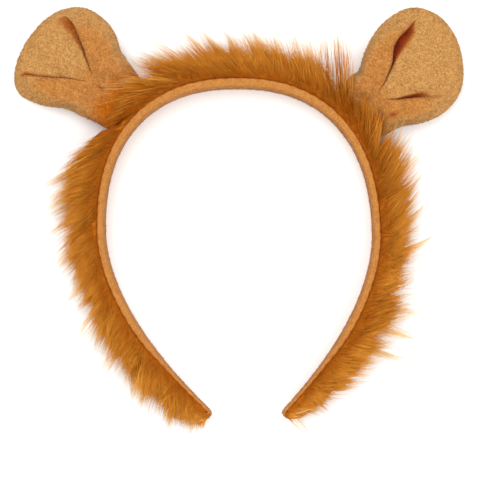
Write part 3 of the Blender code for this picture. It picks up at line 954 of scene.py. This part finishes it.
# The nap
def tufts(name, grid, values, count, seed, material):
    """Short tufts over a grid: each a thin three-sided spike, leaning from the skin's
    normal in a direction of its own. Its spot is picked evenly over the skin that faces
    the front, and sparsely over the rest."""
    chance = np.random.default_rng(seed)
    a, b = grid[:-1, :], grid[1:, :]
    c, d = np.roll(b, -1, axis=1), np.roll(a, -1, axis=1)
    normal = np.cross(c - a, b - d).reshape(-1, 3)
    area = np.linalg.norm(normal, axis=1)
    normal = normal / np.maximum(area, 1e-12)[:, None]
    centre = grid[grid.shape[0] // 2].mean(axis=0)
    inward = ((a.reshape(-1, 3) - centre) * normal).sum() < 0
    normal = -normal if inward else normal
    weight = area * np.where(normal[:, 2] > 0.0, 1.0, TUFTS_FACING_BACK)
    picked = chance.choice(len(area), count, p=weight / weight.sum())
    u, v = chance.random((2, count, 1))
    corners = [block.reshape(-1, 3)[picked] for block in (a, b, c, d)]
    spot = (1 - u) * (1 - v) * corners[0] + u * (1 - v) * corners[1] + u * v * corners[2]
    spot = spot + (1 - u) * v * corners[3]
    up = normal[picked]
    way = up + TUFT_STRAY * chance.normal(size=(count, 3)) + np.array(NAP_WAY)
    way -= up * np.minimum((way * up).sum(axis=1, keepdims=True) - TUFT_LEAST_RISE, 0)
    way /= np.linalg.norm(way, axis=1)[:, None]
    length = TUFT_LENGTH * chance.uniform(0.6, 1.2, (count, 1))
    side = np.cross(way, chance.normal(size=(count, 3)))
    side /= np.linalg.norm(side, axis=1)[:, None]
    other = np.cross(way, side)
    base = spot - up * TUFT_LENGTH * 0.15
    turns = 2 * math.pi * np.arange(3) / 3
    ring = [
        base + TUFT_WIDTH / 2 * (math.cos(turn) * side + math.sin(turn) * other) for turn in turns
    ]
    points = np.stack([*ring, base + way * length], axis=1)
    points[..., 2] = np.maximum(points[..., 2], FLOOR_CLEARANCE)
    first = np.arange(count)[:, None] * 4
    sides = np.array([[0, 2, 1], [0, 1, 3], [1, 2, 3], [2, 0, 3]])
    faces = (first[:, :, None] + sides[None]).reshape(-1, 3)
    shown = {}
    for label, value in values.items():
        shown[label] = np.repeat(value[:-1].reshape(-1)[picked], 4)
    return mesh_piece(name, points.reshape(-1, 3), [faces], material, shown)


# The fur
def underfur(material):
    """The backing with the dense fur on it: a section that is square beside the velour
    and round outside, carried along the hoop, ribbed along the nap and lower where an
    ear stands in it."""
    end = 1 - TIP_WRAP * 0.75 / HALF_ARC
    places = along_places(BAND_RINGS) * end
    points, _, normals = hoop_at(places)
    share = tip_share(places / end)
    from_tip = (1 - np.abs(places)) * HALF_ARC
    height = fur_pile(places) * UNDERFUR_SHARE * smooth(from_tip, 0.0, 0.012)
    face = backing_face(places)
    for step in np.linspace(1.0, 0.0, 21):
        probe = points + normals * (face + height * step + 0.0015)[:, None]
        height = np.where(ear_roof(probe)[1], height * max(0.0, step - 0.05), height)
    height = np.convolve(np.pad(height, 4, mode="edge"), np.ones(9) / 9, mode="valid")
    inner = velour_thickness(places) - SEAM_OVERLAP / 2
    across, up = squarish_oval(BAND_AROUND, *FUR_CORNERS)
    out = np.clip((across + 1) / 2, 0, 1)
    reach = (face - inner + height)[:, None] * (0.5 + 0.5 * share[:, None])
    offset = inner[:, None] + reach * out
    narrowed = 1 - 0.22 * smooth(out, 0.45, 1.0)
    depth = band_depth(places)[:, None]
    level = band_back(places)[:, None] + depth * (0.5 + 0.492 * up * narrowed * share[:, None])
    slanted = np.stack([places[:, None] * HALF_ARC + offset * 0.6, level * 0.3], axis=-1)
    ribs = uneven(slanted, RIB_SPACING, seed=31)
    flat = points[:, None, :] + normals[:, None, :] * (offset + RIB_HEIGHT * ribs * out)[..., None]
    level = np.maximum(level + 0.6 * RIB_HEIGHT * ribs * out, FLOOR_CLEARANCE)
    grid = np.concatenate([flat, level[..., None]], axis=2)
    # The backing takes nearly the fur's dark root colour: partly its own roots and partly painted shade
    # of the pile over it, with more painted shade along the seam.
    at_seam = 1 - smooth(offset - inner[:, None], 0.0002, 0.0009)
    dark = from_table(SEAM_SHADE, places, 1)[:, None]
    along = 0.06 - 0.06 * dark * at_seam + 0.02 * ribs
    tone = np.clip(0.50 + 0.20 * ribs - 0.4 * at_seam, 0, 1)
    values = {"along": along, "tone": tone}
    return closed_tube("fur_backing", grid, material, values), grid, values


def root_spots(place, section):
    """Where hair grows on the section of the backing: across its front edge for shares
    below zero, then down its outer face from the front at 0 to the back at 1."""
    face = backing_face(place)
    inner = velour_thickness(place)
    offset = np.where(section < 0, face + (face - inner) * section, face) - 0.0003
    level = band_back(place) + band_depth(place) * (0.985 - 0.95 * np.clip(section, 0, 1))
    return offset, level


def hair_path(place, section, lean, forward, length):
    """Points along hairs: each step turns a little further over from the hoop's normal
    towards the left tip, and rises by the forward angle."""
    offset, level = root_spots(place, section)
    points, tangents, normals = hoop_at(place)
    steps = np.array(HAIR_STEPS)
    middle = (steps[:-1] + steps[1:]) / 2
    turn = np.radians(lean[:, None] + HAIR_CURL * (middle - 0.5))[..., None]
    rise = np.radians(forward[:, None] * (1 - 0.6 * middle))[..., None]
    flat = normals[:, None, :] * np.cos(turn) - tangents[:, None, :] * np.sin(turn)
    way = np.concatenate([flat * np.cos(rise), np.sin(rise)], axis=-1)
    moves = way * (length[:, None] * np.diff(steps))[..., None]
    root = np.concatenate([points + normals * offset[:, None], level[:, None]], axis=1)
    along = np.concatenate([np.zeros((len(place), 1, 3)), np.cumsum(moves, axis=1)], axis=1)
    return root[:, None, :] + along


def pile_length(place, section, share, lean):
    """The length of hair that reaches a share of the pile at its lean, short by the seam."""
    by_seam = 0.30 + 0.70 * smooth(section, -1.0, -0.15)
    return fur_pile(place) * share * by_seam / np.cos(np.radians(np.minimum(lean, 52)))


def strand_places(chance, count, spread):
    """Scattered roots: evenly spaced places along the hoop with a little chance, each in
    one of the lanes of the section."""
    place = np.linspace(-0.992, 0.992, count) + chance.normal(0, spread / HALF_ARC, count)
    lanes = np.array(HAIR_LANES)
    lane = chance.choice(len(lanes), count, p=lanes[:, 1])
    section = lanes[lane, 0] + chance.uniform(-0.15, 0.15, count)
    return np.clip(place, -0.995, 0.995), np.clip(section, -0.95, 1.0)


def near_ears(place):
    """One where an ear is sewn on, falling to zero on either side of it."""
    return sum(np.exp(-(((place - row[1]) / 0.06) ** 2)) for row in EARS)


def drawn_to(path, line, ratio, pull):
    """Paths drawn towards lines by a share at each step, each point towards the spot as
    far along the line: a ratio says how long the path is for a line of one."""
    steps = np.array(HAIR_STEPS)
    reached = ratio[:, None] * steps
    before = np.clip(np.searchsorted(steps, reached) - 1, 0, len(steps) - 2)
    t = (reached - steps[before]) / (steps[before + 1] - steps[before])
    start = np.take_along_axis(line, before[..., None], axis=1)
    end = np.take_along_axis(line, before[..., None] + 1, axis=1)
    goal = start + (end - start) * t[..., None]
    return path + (goal - path) * pull[..., None]


def tresses(chance):
    """Broad tresses that lean and reach a little more or less than the table says, and
    the share of the pile that each one reaches."""
    place, section = strand_places(chance, TRESSES, 0.002)
    wave = np.stack([place * HALF_ARC, section * 0.012], axis=-1)
    stray = 7 * uneven(wave, 0.030, seed=41) + chance.normal(0, 6, TRESSES)
    lean = from_table(FUR_LEAN, place, 1) + stray * (1 - 0.6 * near_ears(place))
    forward = 9 - 19 * np.clip(section, 0, 1) + chance.normal(0, 6, TRESSES)
    share = chance.uniform(0.76, 1.20, TRESSES) * (1 + 0.08 * uneven(wave, 0.03, seed=42))
    length = pile_length(place, section, share, lean)
    line = hair_path(place, section, lean, forward, length)
    return Strands(place, section, lean, forward, length, line), share


def locks(chance):
    """Locks, each drawn towards the line of the tress that is rooted nearest, and more so
    towards its tip."""
    tress, tress_share = tresses(chance)
    place, section = strand_places(chance, LOCKS, 0.001)
    along = (place[:, None] - tress.place) * HALF_ARC
    across = (section[:, None] - tress.section) * 0.018
    own = (along**2 + across**2).argmin(axis=1)
    lean = tress.lean[own] + chance.normal(0, 5, LOCKS)
    forward = tress.forward[own] + chance.normal(0, 4, LOCKS)
    share = tress_share[own] * chance.uniform(0.8, 1.05, LOCKS)
    length = pile_length(place, section, share, lean)
    line = hair_path(place, section, lean, forward, length)
    pull = TRESS_PULL * np.array(HAIR_STEPS)[None] ** 1.5
    line = drawn_to(line, tress.line[own], length / tress.length[own], pull)
    return Strands(place, section, lean, forward, length, line)


def wisps():
    """The long wisps of the table."""
    place, section, lean, length, _ = np.array(LONG_LOCKS).T
    forward = np.full(len(LONG_LOCKS), WISP_FORWARD)
    line = hair_path(place, section, lean, forward, length)
    return Strands(place, section, lean, forward, length, line)


def hairs(material):
    """The pile. Hairs stand in locks and locks in tresses: each hair is drawn towards its
    lock's line, more so towards the tip. Most hairs are shorter than their lock, a few
    loose ones are longer, and the wisps come last."""
    chance = np.random.default_rng(FUR_SEED)
    lock = Strands(*(np.concatenate(pair) for pair in zip(locks(chance), wisps())))
    long_hairs = np.array(LONG_LOCKS)[:, 4].astype(int)
    in_wisps = np.repeat(LOCKS + np.arange(len(LONG_LOCKS)), long_hairs)
    own = np.concatenate([np.sort(chance.integers(0, LOCKS, HAIRS)), in_wisps])
    count = len(own)
    spread = LOCK_SPREAD * np.where(lock.section[own] < -0.35, 1.6, 1.0) / HALF_ARC
    place = np.clip(lock.place[own] + spread * chance.normal(size=count), -0.996, 0.996)
    section = lock.section[own] + chance.normal(0, SECTION_SPREAD, count)
    section = np.clip(section, -0.98, 1.0)
    guard = chance.random(count) < GUARD_SHARE
    lean = lock.lean[own] + chance.normal(0, 4, count) * np.where(guard, 2.2, 1.0)
    forward = lock.forward[own] + chance.normal(0, 4, count) * np.where(guard, 2.0, 1.0)
    share = 0.50 + 0.55 * chance.random(count) ** 2.2
    share = share * np.where(guard, chance.uniform(*GUARD_LENGTH, count), 1.0)
    share = share * (1 - 0.48 * near_ears(place))
    share = np.where(own < LOCKS, share, chance.uniform(0.70, 1.04, count))
    length = lock.length[own] * share + SHORTEST_HAIR
    full = pile_length(place, np.zeros(count), 1.0, lean)
    # Beside the ears the tips stay less pale, as painted shade of the ears.
    reach = length / full * (1 - 0.4 * near_ears(place))
    path = hair_path(place, section, lean, forward, length)
    pull = chance.uniform(*LOCK_PULL, len(lock.line))[own] * np.where(guard, 0.45, 1.0)
    pull = pull[:, None] * np.array(HAIR_STEPS) ** 1.2
    path = drawn_to(path, lock.line[own], length / lock.length[own], pull)
    path[..., 2] = np.maximum(path[..., 2], FLOOR_CLEARANCE + HAIR_RADIUS)

    path, kept = beside_ears(path, place)
    lock_tone = np.clip(0.5 + 0.30 * chance.normal(size=len(lock.line)), 0, 1)
    # Hairs beside the ears are darker: painted shade of the ears.
    tone = 0.70 * lock_tone[own] + 0.30 * chance.random(count) - 0.35 * near_ears(place)
    tone = np.clip(tone, 0, 1)
    thin = np.where(guard, 0.7, 1.0) * chance.uniform(0.75, 1.2, count)
    path, tone, thin, reach = path[kept], tone[kept], thin[kept], reach[kept]
    made = []
    for k in range(HAIR_PIECES):
        part = slice(k, None, HAIR_PIECES)
        name = f"fur_hair_{k + 1}"
        made.append(spikes(name, path[part], thin[part], tone[part], reach[part], material))
    return made


def beside_ears(path, place):
    """Paths fitted round the ears, and which to keep: those rooted at the front lie over
    an ear, the others are halved where they would enter one, and none grows over the
    stretch where the left ear's neck comes down to the band."""
    count, stops, _ = path.shape
    front = path[:, 0, 2] > 0.0150
    inside = ear_roof(path.reshape(-1, 3)[:, :2])[1].reshape(count, stops).any(axis=1)
    root = path[:, :1]
    path = np.where((inside & ~front)[:, None, None], root + (path - root) * 0.5, path)
    roof, inside = ear_roof(path.reshape(-1, 3)[:, :2])
    roof, inside = roof.reshape(count, stops), inside.reshape(count, stops)
    over = inside & front[:, None]
    path[..., 2] = np.where(over, np.maximum(path[..., 2], roof), path[..., 2])
    bare = (place > BARE_NECK[0]) & (place < BARE_NECK[1])
    return path, (front & ~bare) | ~inside.any(axis=1)


def spikes(name, path, thin, tone, reach, material):
    """A closed three-sided spike along each path: rings of three points that narrow to
    the tip, and a cap under the root. The reach says how pale the tips get: each hair's
    share of the full pile, and less beside the ears as painted shade."""
    count, stops, _ = path.shape
    way = np.gradient(path, axis=1)
    way /= np.linalg.norm(way, axis=-1)[..., None]
    side = np.cross(way, np.array([0.3, 0.2, 1.0]))
    side /= np.linalg.norm(side, axis=-1)[..., None]
    other = np.cross(way, side)
    radius = HAIR_RADIUS * np.array(HAIR_TAPER)[None, :] * thin[:, None]
    turns = 2 * math.pi * np.arange(3) / 3
    rings = path[:, :-1, None, :] + radius[..., None, None] * (
        np.cos(turns)[:, None] * side[:, :-1, None, :] + np.sin(turns)[:, None] * other[:, :-1, None, :]
    )
    per = (stops - 1) * 3 + 1
    points = np.concatenate([rings.reshape(count, -1, 3), path[:, -1:, :]], axis=1).reshape(-1, 3)
    first = np.arange(count)[:, None, None] * per
    quads = (first + tube_faces(stops - 1, 3)[None]).reshape(-1, 4)
    last = (stops - 2) * 3
    corner = np.arange(3)
    tip = np.full(3, per - 1)
    sides = np.stack([last + corner, last + (corner + 1) % 3, tip], axis=-1)
    tips = (first + sides[None]).reshape(-1, 3)
    caps = (first + np.array([[0, 2, 1]])[None]).reshape(-1, 3)
    along = np.concatenate([np.repeat(np.array(HAIR_STEPS)[:-1], 3), [1.0]])
    values = {"along": reach[:, None] * along, "tone": np.repeat(tone, per)}
    faces = [quads, tips, caps]
    if volume(points, faces) < 0:
        faces = [block[:, ::-1] for block in faces]
    return mesh_piece(name, points, faces, material, values)


# The stage
def floor_plane():
    """A plain pale square to lie on."""
    data = bpy.data.meshes.new("floor")
    corners = [(FLOOR_HALF * x, FLOOR_HALF * y, 0) for x, y in ((-1, -1), (1, -1), (1, 1), (-1, 1))]
    data.from_pydata(corners, [], [(0, 1, 2, 3)])
    pale = Finish("pale floor", 0.9)
    pale.shader.inputs["Base Color"].default_value = (FLOOR_TONE, FLOOR_TONE, FLOOR_TONE, 1)
    data.materials.append(pale.material)
    floor = bpy.data.objects.new("floor", data)
    bpy.context.scene.collection.objects.link(floor)


def soft_light():
    """An even white sky, and a wide light on either side that is turned to the middle."""
    world = bpy.data.worlds.new("studio")
    world.use_nodes = True
    sky = world.node_tree.nodes["Background"]
    sky.inputs["Color"].default_value = (1, 1, 1, 1)
    sky.inputs["Strength"].default_value = SKY_STRENGTH
    bpy.context.scene.world = world
    for name, spot, power in LIGHTS:
        lamp = bpy.data.lights.new(name, "AREA")
        lamp.energy = power
        lamp.size = LIGHT_SIZE
        light = bpy.data.objects.new(name, lamp)
        light.location = spot
        light.rotation_euler = (-Vector(spot)).to_track_quat("-Z", "Y").to_euler()
        bpy.context.scene.collection.objects.link(light)


def camera_above(place):
    """A camera that looks straight down on the hoop's front, in the photograph's frame."""
    lens = bpy.data.cameras.new("camera")
    lens.sensor_fit = "HORIZONTAL"
    lens.sensor_width = SENSOR_WIDTH * 1000
    lens.lens = SENSOR_WIDTH * 1000 * CAMERA_DISTANCE / (IMAGE_WIDTH * METRES_PER_PIXEL)
    lens.clip_start = NEAREST_SEEN
    camera = bpy.data.objects.new("camera", lens)
    x, y = (VIEW_CENTRE[k] + place[k] for k in (0, 1))
    camera.location = (x, y, CAMERA_DISTANCE + BAND_DEPTH / 2)
    bpy.context.scene.collection.objects.link(camera)
    bpy.context.scene.camera = camera
    bpy.context.scene.view_settings.view_transform = "Standard"


def dress():
    """Makes each piece, hides the solid that it stands for and hangs it on the root body."""
    velour = velour_finish()
    fur = fur_finish("orange brown fur")
    band, band_grid, band_values = velour_band(velour)
    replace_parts(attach(band, "root"), "velour_band")
    naps = [tufts("band_nap", band_grid, band_values, BAND_TUFTS, 51, velour)]
    for row in EARS:
        piece, grid, values = ear(row, velour)
        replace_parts(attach(piece, "root"), row[0])
        naps.append(tufts(row[0] + "_nap", grid, values, EAR_TUFTS, 52 + row[5], velour))
    for nap in naps:
        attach(nap, "root")
    backing, backing_grid, backing_values = underfur(fur)
    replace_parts(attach(backing, "root"), "fur_trim")
    edge_pile = tufts("fur_edge_pile", backing_grid, backing_values, EDGE_TUFTS, 61, fur)
    for piece in [edge_pile, *hairs(fur)]:
        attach(piece, "root")


dress()
floor_plane()
soft_light()
camera_above(SHIFT)
